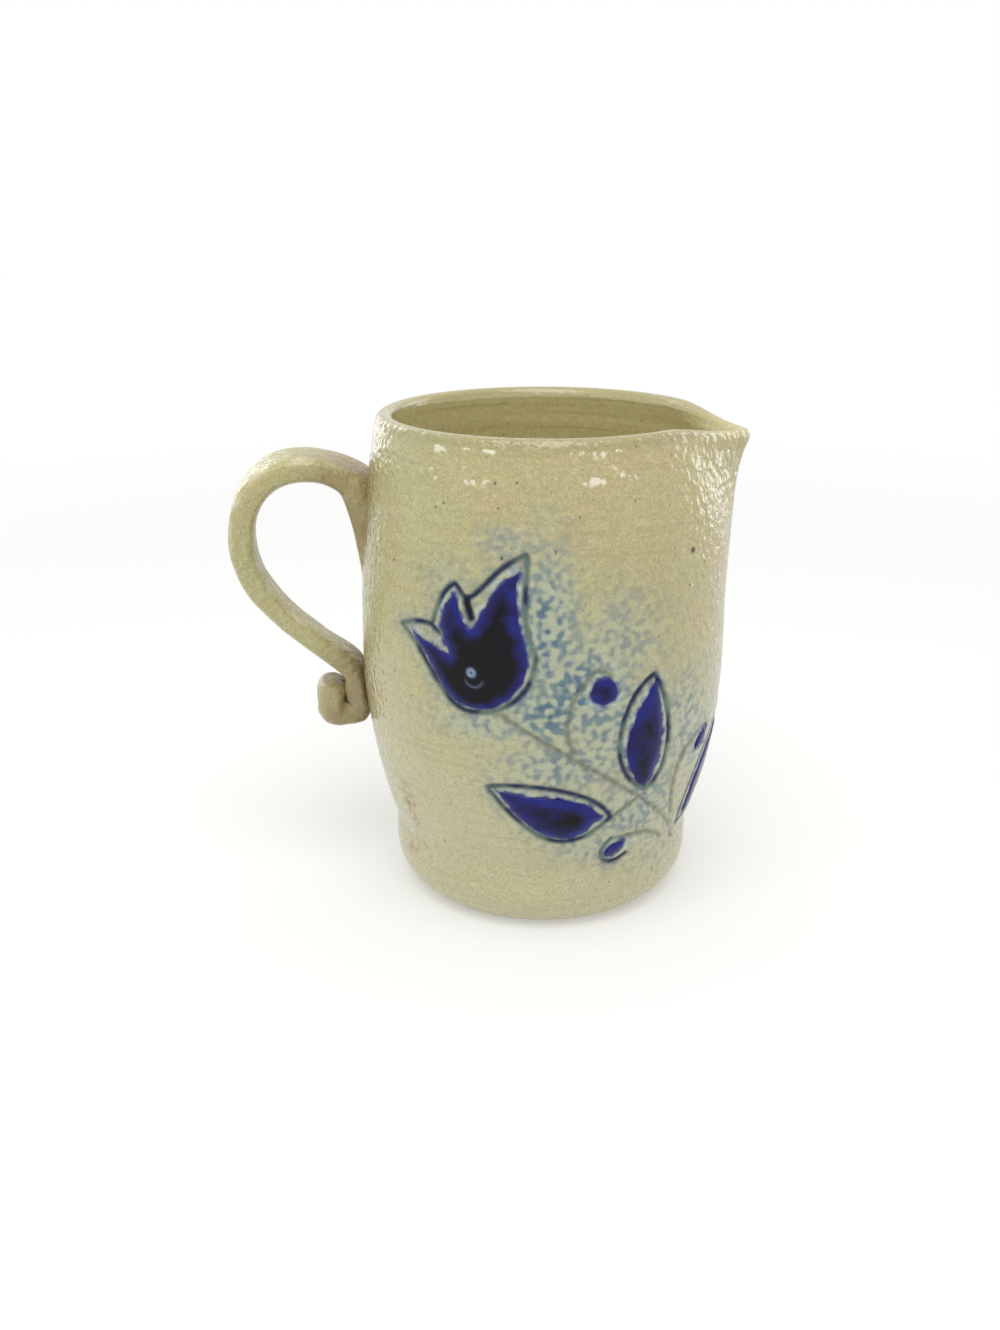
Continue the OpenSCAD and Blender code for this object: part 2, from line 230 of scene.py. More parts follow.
# Short incised marks on the tulip, and the line round the low bud
TULIP_SLIT = [(-1.6, 8.4), (-1.4, 6.8), (-0.8, 5.4), (-0.4, 4.2)]
TULIP_CREASE = [(-11.3, 1.1), (-9.9, 0.2), (-8.6, -0.8), (-7.1, -1.3)]
LOW_BUD_LINE = [(-1, 3.9), (-6.5, -1), (0, -7.5), (4.7, -2.1)]
# Bearing and height that the low bud's line faces, a little below its pool
LOW_BUD_LINE_AT = (-54, 23)
# Stem and tendrils, in degrees of bearing and millimetres of height
STEMS = [
    [(-92.6, 63.7), (-70, 51.5), (-42, 37.5), (-19.3, 17.6)],
    [(-70.1, 53.2), (-75, 60), (-72, 68), (-64.9, 73.8)],
    [(-64.9, 73.8), (-63.3, 74.4), (-61.3, 74), (-60.1, 72.1)],
    [(-31.9, 22.2), (-38, 26.5), (-46, 27), (-54.5, 26.7)],
    [(-29.1, 28.7), (-37, 41), (-32, 52), (-16.1, 51)],
    [(-56.9, 33.5), (-54, 35.2), (-51, 36.8), (-48.3, 38.1)],
]
# Clouds of thin cobalt wash: bearing, height, half width, half height, strength
WASHES = [
    (-79, 84, 8, 19, 1.0),
    (-78, 64, 11, 9, 1.0),
    (-68, 70, 13, 14, 1.0),
    (-58, 80, 14, 14, 0.55),
    (-57, 60, 14, 14, 0.8),
    (-33, 55, 10, 16, 0.7),
    (-72, 50, 16, 8, 0.8),
    (-63, 25, 11, 5, 0.6),
    (-48, 36, 15, 13, 0.75),
    (-32, 22, 16, 11, 0.4),
    (-90, 104, 9, 5, 0.5),
    (-108, 94, 8, 6, 0.45),
    (-97, 60, 13, 4, 0.7),
    (-20, 48, 10, 16, 0.6),
]
# Iron spots: bearing, height, radius
IRON_SPOTS = [
    (-31.3, 99.3, 0.8),
    (-130.5, 95.9, 0.4),
    (-91.6, 100.8, 0.4),
    (-76.3, 102.5, 0.35),
    (-110.8, 111.8, 0.35),
    (-113.6, 110.6, 0.3),
    (-94.3, 117.4, 0.35),
    (-87.7, 117.6, 0.3),
    (-93.2, 111.9, 0.25),
    (-52.3, 112.9, 0.25),
]
# Radius that bearings are turned to arc lengths with
ARC_R = 46.5


def to_arc(bearing, z):
    """Arc lengths and heights of places on the wall."""
    return np.column_stack([bearing * ARC_R, z])


def evenly(outline, step):
    """A closed outline with points at even steps."""
    closed = np.vstack([outline, outline[:1]])
    run = np.concatenate([[0], np.cumsum(np.hypot(*np.diff(closed, axis=0).T))])
    places = np.linspace(0, run[-1], int(run[-1] / step), endpoint=False)
    return np.column_stack([np.interp(places, run, column) for column in closed.T])


# How far the pools' edges fray, the sizes of the wide and the fine bays, and the fine ones' share
FRAY = 0.45
WIDE_FRAY = 3.2
FINE_FRAY = 0.9
FINE_SHARE = 0.15
# Noise level that the fine bays come from
FINE_LEVEL = 9
OUTLINE_STEP = 0.2
# Steps along each curve of a pool, of the incised lines and of the stem and tendrils
POOL_STEPS = 120
TULIP_STEPS = 60
LEAF_STEPS = 120
MARK_STEPS = 30
BUD_STEPS = 50
STEM_STEPS = 200


def pool_outline(node):
    """A pool's outline, with the small bays and tongues of glaze that ran a little."""
    outline = evenly(closed_curves(POOLS[node][2], POOL_STEPS), OUTLINE_STEP)
    wide = np.array([noise.noise_vector(Vector((x, y, 0)) / WIDE_FRAY) for x, y in outline])
    fine = np.array([noise.noise_vector(Vector((x, y, FINE_LEVEL)) / FINE_FRAY) for x, y in outline])
    return outline + FRAY * (wide + FINE_SHARE * fine)[:, :2]


def beside_pool(node, uv):
    """Arc lengths and heights of flat points that face the wall where a pool does."""
    bearing, height, _ = POOLS[node]
    return to_arc(*on_wall(bearing, height, uv))


def incised_lines():
    """Points along the lines that took cobalt, and along the bare stem and tendrils, as arc and height."""
    outlines = [
        beside_pool("tulip_glaze", closed_curves(TULIP_LINE, TULIP_STEPS)),
        beside_pool("low_leaf_glaze", closed_curves(LOW_LEAF_LINE, LEAF_STEPS)),
        beside_pool("side_leaf_glaze", closed_curves(SIDE_LEAF_LINE, LEAF_STEPS)),
        beside_pool("far_leaf_glaze", closed_curves(FAR_LEAF_LINE, LEAF_STEPS)),
        beside_pool("tulip_glaze", bezier(TULIP_CREASE, MARK_STEPS)),
        to_arc(*on_wall(*LOW_BUD_LINE_AT, bezier(LOW_BUD_LINE, BUD_STEPS))),
    ]
    stems = [bezier(stem, STEM_STEPS) for stem in STEMS]
    return np.vstack(outlines), np.vstack([to_arc(np.radians(s[:, 0]), s[:, 1]) for s in stems])


def distance_to(points, places):
    """Distance of each place to the nearest of the points."""
    tree = kdtree.KDTree(len(points))
    for i, (x, y) in enumerate(points):
        tree.insert((x, y, 0), i)
    tree.balance()
    return np.array([tree.find((x, y, 0))[2] for x, y in places])


def inside(outline, places):
    """Whether each place lies inside a closed outline."""
    x, y = places[:, 0], places[:, 1]
    odd = np.zeros(len(places), bool)
    for (x0, y0), (x1, y1) in zip(outline, np.roll(outline, -1, axis=0)):
        if y0 != y1:
            odd ^= ((y0 > y) != (y1 > y)) & (x < x0 + (y - y0) / (y1 - y0) * (x1 - x0))
    return odd


def make_mesh(name, points, faces):
    """A smooth-shaded object from points in millimetres."""
    mesh = bpy.data.meshes.new(name)
    mesh.from_pydata((np.asarray(points) * MM).tolist(), [], faces)
    mesh.update()
    mesh.polygons.foreach_set("use_smooth", np.ones(len(mesh.polygons), bool))
    piece = bpy.data.objects.new(name, mesh)
    bpy.context.scene.collection.objects.link(piece)
    return piece


def ring_faces(rings, sides, flipped=False):
    """Faces that join neighbouring rings of points."""
    column = np.arange(sides)
    after = (column + 1) % sides
    faces = []
    for i in range(rings - 1):
        low, high = i * sides, (i + 1) * sides
        corners = [low + column, low + after, high + after, high + column]
        if flipped:
            corners = [corners[0], corners[3], corners[2], corners[1]]
        faces.extend(np.column_stack(corners).tolist())
    return faces


def set_attribute(piece, name, values):
    """Stores a value at each point, for the material to read."""
    attribute = piece.data.attributes.new(name, "FLOAT", "POINT")
    attribute.data.foreach_set("value", np.asarray(values, np.float32))


def spaced(x, spacing):
    """Picks places along x so that neighbours lie about their spacing apart."""
    count = np.concatenate([[0], np.cumsum(np.diff(x) * 2 / (spacing[1:] + spacing[:-1]))])
    return np.interp(np.linspace(0, count[-1], int(round(count[-1])) + 1), count, x)


# Points on each round of the section, up the wall and down the hollow
ROUND_STEPS = 60
WALL_STEPS = 1200
HOLLOW_STEPS = 600
PROFILE_STEP = 0.1


def body_profile():
    """Section from the base's middle up the outside and down the inside: radius, height, share outside."""
    base_r = FOOT_R - BASE_INSET
    heel_z = np.linspace(0, HEEL_H, ROUND_STEPS)
    heel = FOOT_R - HEEL_ARC + np.sqrt(HEEL_ARC ** 2 - (HEEL_H - heel_z) ** 2)
    wall_z = np.linspace(HEEL_H, LIP_Z, WALL_STEPS)[1:]
    wall = np.where(wall_z < FOOT_H, FOOT_R, wall_at(np.maximum(wall_z, FOOT_H)))
    wall = wall - HOLLOW_DEPTH * bell(wall_z, HOLLOW_HALF, FOOT_H)
    outer, inner = wall_at(LIP_Z), wall_at(LIP_Z, -WALL)
    turn = np.radians(np.linspace(0, 180, ROUND_STEPS))[1:-1]
    rim_r = (outer + inner) / 2 + (outer - inner) / 2 * np.cos(turn)
    rim_z = LIP_Z + (outer - inner) / 2 * np.sin(turn)
    round_z = FLOOR_T + FLOOR_ROUND
    hollow_z = np.linspace(LIP_Z, round_z, HOLLOW_STEPS)
    hollow = wall_at(hollow_z, -WALL)
    bend = np.radians(np.linspace(0, 90, ROUND_STEPS))[1:]
    floor_r = hollow[-1] - FLOOR_ROUND + FLOOR_ROUND * np.cos(bend)
    floor_z = round_z - FLOOR_ROUND * np.sin(bend)
    r = np.concatenate([[0, base_r], heel[1:], wall, rim_r, hollow, floor_r, [0]])
    z = np.concatenate([[0, 0], heel_z[1:], wall_z, rim_z, hollow_z, floor_z, [FLOOR_T]])
    outside = np.concatenate([
        np.ones(1 + len(heel) + len(wall)),
        (1 + np.cos(turn)) / 2,
        np.zeros(len(hollow) + len(floor_r) + 1),
    ])
    return np.column_stack([r, z, outside])


def softened(profile, sigma):
    """The section at even steps, with its corners rounded as clay and glaze round them."""
    run = np.concatenate([[0], np.cumsum(np.hypot(*np.diff(profile[:, :2], axis=0).T))])
    even = np.arange(0, run[-1], PROFILE_STEP)
    steps = np.column_stack([np.interp(even, run, column) for column in profile.T])
    half = int(4 * sigma / PROFILE_STEP)
    kernel = np.exp(-0.5 * (np.arange(-half, half + 1) * PROFILE_STEP / sigma) ** 2)
    kernel /= kernel.sum()
    padded = np.pad(steps, ((half, half), (0, 0)), mode="edge")
    return even, np.column_stack([np.convolve(column, kernel, "valid") for column in padded.T])


def teardrop(a, r, tip, reach):
    """Radius at an angle of a circle and a tip circle that tangents join."""
    tip_x = r - tip + reach
    tangent = np.arccos(np.minimum(1, (r - tip) / tip_x))
    tip_end = np.arctan2(tip * np.sin(tangent), tip_x + tip * np.cos(tangent))
    a = np.abs(a)
    side = r / np.cos(np.maximum(0, tangent - a))
    cap = tip_x * np.cos(a) + np.sqrt(np.maximum(0, tip ** 2 - (tip_x * np.sin(a)) ** 2))
    return np.where(a >= tangent, r, np.where(a >= tip_end, side, cap))


def hump(a, half):
    """1 straight ahead, and 0 from a half angle on."""
    return np.where(np.abs(a) < half, np.cos(a / half * math.pi / 2) ** 2, 0)


# Share of the lip's pull that starts low down, and the factor that makes the swell's peak 1
EARLY_PULL = 0.08
SWELL_PEAK = 27 / 4


def pull_lip(a, r, z, outside):
    """Pushes the section out to the pouring lip."""
    s = np.clip((z - LIP_START) / (LIP_Z - LIP_START), 0, 1)
    pull = EARLY_PULL * s ** 2 + (1 - EARLY_PULL) * s ** 5
    reach = pull * (LIP_REACH + (1 - outside) * (WALL - TIP_WALL))
    swell = LIP_SWELL * SWELL_PEAK * s ** 2 * (1 - s) * hump(a, LIP_SECTOR)
    wall_from = BELLY_R / 2
    pulled = teardrop(a, np.maximum(r, wall_from), mix(TIP_IN_R, TIP_R, outside), reach)
    r = np.where(r > wall_from, pulled, r)
    return r + swell, z - LIP_DROOP * s ** 3 * hump(a, DROOP_SECTOR)


# How oval the wall is, the phase of its long side, and the heights between which that grows
OVAL = 0.22
OVAL_TURN = 0.9
OVAL_HEIGHTS = (10, 60)


def out_of_round(bearing, z):
    """How far the hand-thrown wall is off a true round."""
    return OVAL * np.cos(2 * bearing + OVAL_TURN) * ramp(z, *OVAL_HEIGHTS)


# Depth of the throwing marks inside and outside, and the heights between which they grow
MARK_INSIDE = 0.11
MARK_OUTSIDE = 0.03
MARK_HEIGHTS = (12, 30)
# Pitch of the fingers' spiral, and of a slower one with its share
FINGER_PITCH = 3.4
SLOW_PITCH = 7.3
SLOW_SHARE = 0.6


def throwing_marks(bearing, z, outside):
    """The slight spiral that the potter's fingers leave, stronger inside."""
    finger = np.sin(2 * math.pi * z / FINGER_PITCH + bearing)
    slow = np.sin(2 * math.pi * z / SLOW_PITCH - bearing)
    return mix(MARK_INSIDE, MARK_OUTSIDE, outside) * (finger + SLOW_SHARE * slow) * ramp(z, *MARK_HEIGHTS)


# Depths and half widths of the incised lines, the ink in them, the tulip's slit and the stems
LINE_DEPTH = 0.45
STEM_DEPTH = 0.42
LINE_HALF = 0.8
INK_HALF = 0.8
SLIT_HALF = 1.1
STEM_HALF = 0.65
# Clay pushed up beside the lines: height, distance from the line and half width
BURR = 0.15
BURR_AWAY = 1.3
BURR_HALF = 0.5
# How deep the pools lie in the clay, and the distances over which that and their colour fade
RECESS = 0.12
RECESS_FADE = 0.3
BLEED_FADE = 0.9
# Pale band round the pools, partly a painted highlight: distance from the edge and half width
PALE_AWAY = 1.1
PALE_HALF = 0.8
# Wash close to lines and pools, how far it spreads, and how sharply its clouds fade
HALO = 0.4
HALO_HALF = 4.0
CLOUD_FALL = 0.9
# Where an iron spot starts and stops fading, as shares of its radius
IRON_FULL = 0.5
IRON_FADE = 1.3


def decorate(bearing, z):
    """Depth of the incised lines and strengths of the colours at places on the outside of the wall."""
    places = to_arc(bearing, z)
    outlines, stems = incised_lines()
    to_line = distance_to(outlines, places)
    to_stem = distance_to(stems, places)
    to_slit = distance_to(beside_pool("tulip_glaze", bezier(TULIP_SLIT, MARK_STEPS)), places)
    to_pool = np.full(len(places), np.inf)
    for node in POOLS:
        outline = beside_pool(node, pool_outline(node))
        gap = distance_to(outline, places)
        to_pool = np.minimum(to_pool, np.where(inside(outline, places), 0, gap))
    slit = np.exp(-(to_slit / SLIT_HALF) ** 3)
    groove = np.maximum(bell(to_line, LINE_HALF), slit)
    line = np.maximum(np.exp(-(to_line / INK_HALF) ** 3), slit)
    stem = bell(to_stem, STEM_HALF)
    burr = bell(np.minimum(to_line, to_stem), BURR_HALF, BURR_AWAY)
    cut = np.maximum(LINE_DEPTH * groove, STEM_DEPTH * stem)
    wash = bell(np.minimum(to_line, to_pool), HALO_HALF) * HALO
    for az, height, half_w, half_h, strength in WASHES:
        across = (places[:, 0] - math.radians(az) * ARC_R) / half_w
        up = (z - height) / half_h
        wash = np.maximum(wash, strength * np.exp(-(across ** 2 + up ** 2) * CLOUD_FALL))
    iron = np.zeros(len(places))
    for az, height, radius in IRON_SPOTS:
        away = np.hypot(places[:, 0] - math.radians(az) * ARC_R, z - height)
        iron = np.maximum(iron, 1 - ramp(away, radius * IRON_FULL, radius * IRON_FADE))
    return {
        "depth": cut - BURR * burr + RECESS * np.exp(-to_pool / RECESS_FADE),
        "line": line,
        "stem": stem * (1 - line),
        "bleed": np.exp(-to_pool / BLEED_FADE),
        "slit": slit,
        "pale": bell(to_pool, PALE_HALF, PALE_AWAY) * (1 - line),
        "wash": wash,
        "iron": iron,
    }


# Runs of thick pale glaze, partly painted highlight along the rim's underside: how many lie round the rim,
# the bearing of one, and how sharply they part
RUNS = 8
RUN_BEARING = -106
RUN_PARTING = (-0.3, 0.4)
# Bands below the rim that the runs lie in: height, half height, strength
RUN_BANDS = [
    (124.3, 1.3, 1.0),
    (118.5, 2.5, 0.6),
]
# Toasted patches: bearing, height, half width in degrees, half height, strength
TOASTS = [
    (-131, 30, 4, 7, 1.0),
    (-137, 14, 5, 2.5, 0.7),
]


def glaze_bands(bearing, z):
    """Thick pale glaze that runs below the rim, partly a painted highlight, and toasted patches low on the
    wall.
    """
    places = ramp(np.cos(RUNS * (bearing - math.radians(RUN_BEARING))), *RUN_PARTING)
    run = places * sum(strength * bell(z, half, height) for height, half, strength in RUN_BANDS)
    degrees = np.degrees(bearing)
    toast = np.zeros(len(z))
    for az, height, half_w, half_h, strength in TOASTS:
        patch = np.exp(-((degrees - az) / half_w) ** 2 - ((z - height) / half_h) ** 2)
        toast = np.maximum(toast, strength * patch)
    return run, toast


# Fields that the body's material reads, besides the one that is 1 inside
FIELDS = ("line", "stem", "slit", "bleed", "pale", "wash", "iron", "glaze", "toast")
# Rounding of the section's corners
SOFTNESS = 0.8
# Share outside above which a point is on the outer wall, and below which it is on the inner one
OUTER = 0.99
INNER = 0.01
# Spacing of rows on the outside, the rim, the inside, the base and the floor
OUTSIDE_ROWS = 0.42
RIM_ROWS = 0.3
INSIDE_ROWS = 1.4
BASE_ROWS = 3.0
FLOOR_ROWS = 2.5
# Rows less than this above the base or the floor lie on its flat
FLAT_BAND = 0.5
# Width of the base's edge, where the rows stay close
BASE_EDGE = 1.0
# Degrees between columns on the decorated side, on the lip and elsewhere
SPRAY_COLUMNS = 0.48
LIP_COLUMNS = 0.7
PLAIN_COLUMNS = 1.2
COLUMN_STEP = 0.05
# Bearings between which the columns are closest
CLOSE_FROM = -140
CLOSE_TO = 12
# Bearings and heights between which the wall is decorated
SPRAY_FROM = math.radians(-140)
SPRAY_TO = math.radians(20)
SPRAY_LOW = 6
SPRAY_HIGH = 122
# Radii between which the marks of the hand grow
HAND_RADII = (10, 25)


def body_rows():
    """Radius, height and share outside of each row of points."""
    run, steps = softened(body_profile(), SOFTNESS)
    r, z, outside = steps.T
    spacing = np.where(outside > OUTER, OUTSIDE_ROWS, np.where(outside > INNER, RIM_ROWS, INSIDE_ROWS))
    spacing = np.where((z < FLAT_BAND) & (r < FOOT_R - BASE_INSET - BASE_EDGE), BASE_ROWS, spacing)
    spacing = np.where((outside < INNER) & (z < FLOOR_T + FLAT_BAND), FLOOR_ROWS, spacing)
    rows = spaced(run, spacing)[1:-1]
    return [np.interp(rows, run, column)[:, None] for column in (r, z, outside)]


def body_columns():
    """Bearing of each column of points."""
    degrees = np.arange(-180, 180 + COLUMN_STEP / 2, COLUMN_STEP)
    close = (degrees > CLOSE_FROM) & (degrees < CLOSE_TO)
    turn = np.where(close, SPRAY_COLUMNS, PLAIN_COLUMNS)
    turn = np.where(np.abs(degrees) < LIP_DEGREES, np.minimum(turn, LIP_COLUMNS), turn)
    return np.radians(spaced(degrees, turn)[:-1])[None, :]


def make_body():
    """The whole thrown body, with the fields that colour it."""
    r, z, outside = body_rows()
    bearing = body_columns()
    r, z = pull_lip(bearing, r + 0 * bearing, z + 0 * bearing, outside)
    r = r + (out_of_round(bearing, z) + throwing_marks(bearing, z, outside)) * ramp(r, *HAND_RADII)
    bearing = bearing + 0 * r
    outside = outside + 0 * r
    z = np.maximum(z, 0)

    fields = {name: np.zeros(r.shape) for name in FIELDS}
    fields["inside"] = 1 - outside
    wall = outside > OUTER
    spray = wall & (z > SPRAY_LOW) & (z < SPRAY_HIGH) & (bearing > SPRAY_FROM) & (bearing < SPRAY_TO)
    drawn = decorate(bearing[spray], z[spray])
    r[spray] -= drawn.pop("depth")
    for name, values in drawn.items():
        fields[name][spray] = values
    fields["glaze"][wall], fields["toast"][wall] = glaze_bands(bearing[wall], z[wall])

    count, across = r.shape
    points = np.column_stack([(r * np.cos(bearing)).ravel(), (r * np.sin(bearing)).ravel(), z.ravel()])
    base, floor = len(points), len(points) + 1
    points = np.vstack([points, [0, 0, 0], [0, 0, FLOOR_T]])
    faces = ring_faces(count, across)
    last = (count - 1) * across
    neighbours = [(a, (a + 1) % across) for a in range(across)]
    faces.extend([base, b, a] for a, b in neighbours)
    faces.extend([floor, last + a, last + b] for a, b in neighbours)
    piece = make_mesh("pitcher_body", points, faces)
    for name, values in fields.items():
        set_attribute(piece, name, np.concatenate([values.ravel(), [0, 0]]))
    return piece


# The handle's path: curves in its plane as distance out and height, then the roll
ARM_DIR = np.array([-math.cos(ARM_SLOPE), -math.sin(ARM_SLOPE)])
BOW = np.array([BELLY_R + HANDLE_REACH, BOW_Z])
ROOT = np.array([float(wall_at(ROOT_Z)) - ROOT_SINK, ROOT_Z])
ARM = np.array([float(wall_at(ARM_Z)) + ARM_STAND, ARM_Z])
ROLL = np.array([float(wall_at(ROLL_Z)) + PRESSED_T / 2, ROLL_Z])
ARM_DROP = BOW_Z - ARM_Z
PRESS_DROP = ARM_Z - ROLL_Z
# Distances of the curves' controls from their ends, as shares of the reach or the drop
ROOT_PULL = np.array([0.46, 0.46])
ARCH_PULL = 0.72
BOW_PULL = 0.41
ARM_PULL = 0.47
PRESS_PULL = 0.34
WALL_PULL = 0.48
PATH_CURVES = [
    [ROOT, ROOT + ROOT_PULL * HANDLE_REACH, BOW + [0, ARCH_PULL * HANDLE_REACH], BOW],
    [BOW, BOW - [0, BOW_PULL * ARM_DROP], ARM - ARM_PULL * ARM_DROP * ARM_DIR, ARM],
    [ARM, ARM + PRESS_PULL * PRESS_DROP * ARM_DIR, ROLL + [0, WALL_PULL * PRESS_DROP], ROLL],
]
# Stations: 0 upper root, 1 bow, 2 arm near the wall, 3 roll starts, 4 it has turned up, 5 end
PATH_END = 5
PATH_STEP = 0.01
ROOT_OUT = ROOT_SINK / (3 * ROOT_PULL[0] * HANDLE_REACH)
THICKNESS = [
    (0, STRAP_T), (0.5, STRAP_T), (1, BOW_T), (1.6, ARM_T), (2, ARM_T),
    (2.6, PRESSED_T), (3, PRESSED_T), (3.4, ROLL_T), (PATH_END, ROLL_T),
]
WIDTH = [
    (0, ROOT_W), (SMEAR_END, STRAP_W), (0.45, STRAP_W), (1, (ARM_W + STRAP_W) / 2),
    (1.6, ARM_W), (2.8, ARM_W), (3.4, ROLL_W), (PATH_END, ROLL_W),
]
# How far values blend to either side of a station, and in how many steps
EASE = 0.12
EASE_STEPS = 9
RING_SIDES = 56
# First and last station of each part of the path, and its rings with both ends
RING_RUNS = [
    (0, SMEAR_END, 16), (SMEAR_END, 1, 60), (1, 2, 60),
    (2, 3, 24), (3, 4, 48), (4, PATH_END, 5),
]
# Stations between which the tail turns rounder, bulges, stops bulging and gets its lumps
ROUND_RISE = (2.8, 3.4)
FOLD_RISE = (2.3, 2.8)
FOLD_FALL = (2.9, 3.3)
LUMP_RISE = (2.6, 3.2)
# Last angle and steps of the tail's rounded end, and the share of its width that it narrows to
DOME_DEGREES = 88
DOME_STEPS = 12
DOME_WIDTH = 0.6
# How narrow the strap's pale corners are: paler glaze on the ridges, partly painted highlight
RIDGE_HIGHLIGHT_POWER = 6
# How square the rolled tail is: 1 is round
TAIL_SQUARE = 0.68
# How far the strap bulges towards the rolled tail
FOLD = 1.6
# How far the roll's corners swell, and how square the tail's end is: 1 is round
CORNER = 0.3
BLUNT = 0.6
# Lumps that the fingers left in the soft clay
LUMP = 0.2
LUMP_SIZE = 7.0
TAIL_LUMP = 0.5
TAIL_LUMP_SIZE = 3.6


def handle_path(q):
    """Distance out and height of the strap's middle at a station."""
    if q > 4:
        return ROLL + [2 * ROLL_R, TAIL_RISE * (q - 4)]
    if q > 3:
        turn = math.pi * (q - 3)
        return ROLL + [ROLL_R - ROLL_R * math.cos(turn), -ROLL_R * math.sin(turn)]
    part = min(int(q), len(PATH_CURVES) - 1)
    return curve_at(PATH_CURVES[part], q - part)


def handle_along(q):
    """Unit direction along the path at a station."""
    step = handle_path(min(q + PATH_STEP, PATH_END)) - handle_path(max(q - PATH_STEP, 0))
    return step / np.linalg.norm(step)


def eased(q, table):
    """A value along the path, blended smoothly between the table's stations."""
    stations, values = zip(*table)
    near = np.linspace(q - EASE, q + EASE, EASE_STEPS)
    return float(np.mean(np.interp(near, stations, values)))


def strap_ring(outer, inner, width, square):
    """One ring of the strap between an outer and an inner point, turned to its lean at the wall."""
    middle = (outer + inner) / 2
    lean = math.radians(HANDLE_LEAN) * float(ramp(middle[0] - BELLY_R, 0, LEAN_RUN))
    a = np.linspace(0, 2 * math.pi, RING_SIDES, endpoint=False)
    p = middle + (outer - inner) / 2 * squared(np.cos(a), square)[:, None]
    out = p[:, 0] - BELLY_R
    y = width / 2 * squared(np.sin(a), square)
    x = -BELLY_R - out * math.cos(lean) - y * math.sin(lean)
    return np.column_stack([x, y * math.cos(lean) - out * math.sin(lean), p[:, 1]])


def strap_rings(stations):
    """Rings along the strap, with its smeared root and its folded tail."""
    rings = []
    for q in stations:
        along = handle_along(q)
        side = np.array([-along[1], along[0]]) * eased(q, THICKNESS) / 2
        smear = SMEAR_H * max(0, (SMEAR_END - q) / (SMEAR_END - ROOT_OUT)) ** 2
        middle = handle_path(q)
        fold = FOLD * float(ramp(q, *FOLD_RISE) * (1 - ramp(q, *FOLD_FALL)))
        outer = middle + side * (1 + 2 * fold / eased(q, THICKNESS))
        corner = CORNER * math.sin(2 * math.pi * (q - 3)) ** 2 if 3 < q < 4 else 0
        inner = middle - side * (1 + corner) - [0, smear]
        square = mix(RING_SQUARE, TAIL_SQUARE, float(ramp(q, *ROUND_RISE)))
        rings.append(strap_ring(outer, inner, eased(q, WIDTH), square))
    return rings


def dome_rings():
    """Rings that round off the tail's end."""
    along = handle_along(PATH_END)
    side = np.array([-along[1], along[0]]) * ROLL_T / 2
    rings = []
    for turn in np.radians(np.linspace(0, DOME_DEGREES, DOME_STEPS)[1:]):
        middle = handle_path(PATH_END) + along * ROLL_T / 2 * math.sin(turn) ** BLUNT
        tip = side * math.cos(turn) ** BLUNT
        width = ROLL_W * mix(DOME_WIDTH, 1, math.cos(turn))
        rings.append(strap_ring(middle + tip, middle - tip, width, TAIL_SQUARE))
    return rings


def make_handle():
    """The pulled strap, turned to its place on the wall."""
    parts = [np.linspace(first, last, count)[1:] for first, last, count in RING_RUNS]
    stations = np.concatenate([[0], *parts])
    rings = strap_rings(stations) + dome_rings()
    points = np.vstack(rings)
    on_tail = ramp(stations, *LUMP_RISE)
    on_tail = np.concatenate([on_tail, np.full(len(rings) - len(stations), on_tail[-1])])
    on_tail = np.repeat(on_tail, RING_SIDES)[:, None]
    lumps = LUMP * np.array([noise.noise_vector(Vector(p) / LUMP_SIZE) for p in points])
    tail_lumps = TAIL_LUMP * np.array([noise.noise_vector(Vector(p) / TAIL_LUMP_SIZE) for p in points])
    points = points + lumps + tail_lumps * on_tail
    turn = math.radians(HANDLE_TURN)
    x, y = points[:, 0].copy(), points[:, 1].copy()
    points[:, 0] = x * math.cos(turn) - y * math.sin(turn)
    points[:, 1] = x * math.sin(turn) + y * math.cos(turn)
    first = list(range(RING_SIDES))
    last = list(range(len(points) - 1, len(points) - RING_SIDES - 1, -1))
    faces = [first, *ring_faces(len(rings), RING_SIDES, flipped=True), last]
    piece = make_mesh("strap_handle", points, faces)
    corner = np.abs(np.sin(2 * np.linspace(0, 2 * math.pi, RING_SIDES, endpoint=False))) ** RIDGE_HIGHLIGHT_POWER
    set_attribute(piece, "ridge_glaze_highlight", np.tile(corner, len(rings)))
    return piece


# How deep a layer's edge and its back are sunk in the wall
PATCH_SINK = 0.04
PATCH_BACK = 0.3
# How far points inside stay from the outline, as a share of their spacing
PATCH_MARGIN = 0.6
# Keep triangles inside the outline only, and join points closer than this
CDT_INSIDE = 1
CDT_JOIN = 1e-5


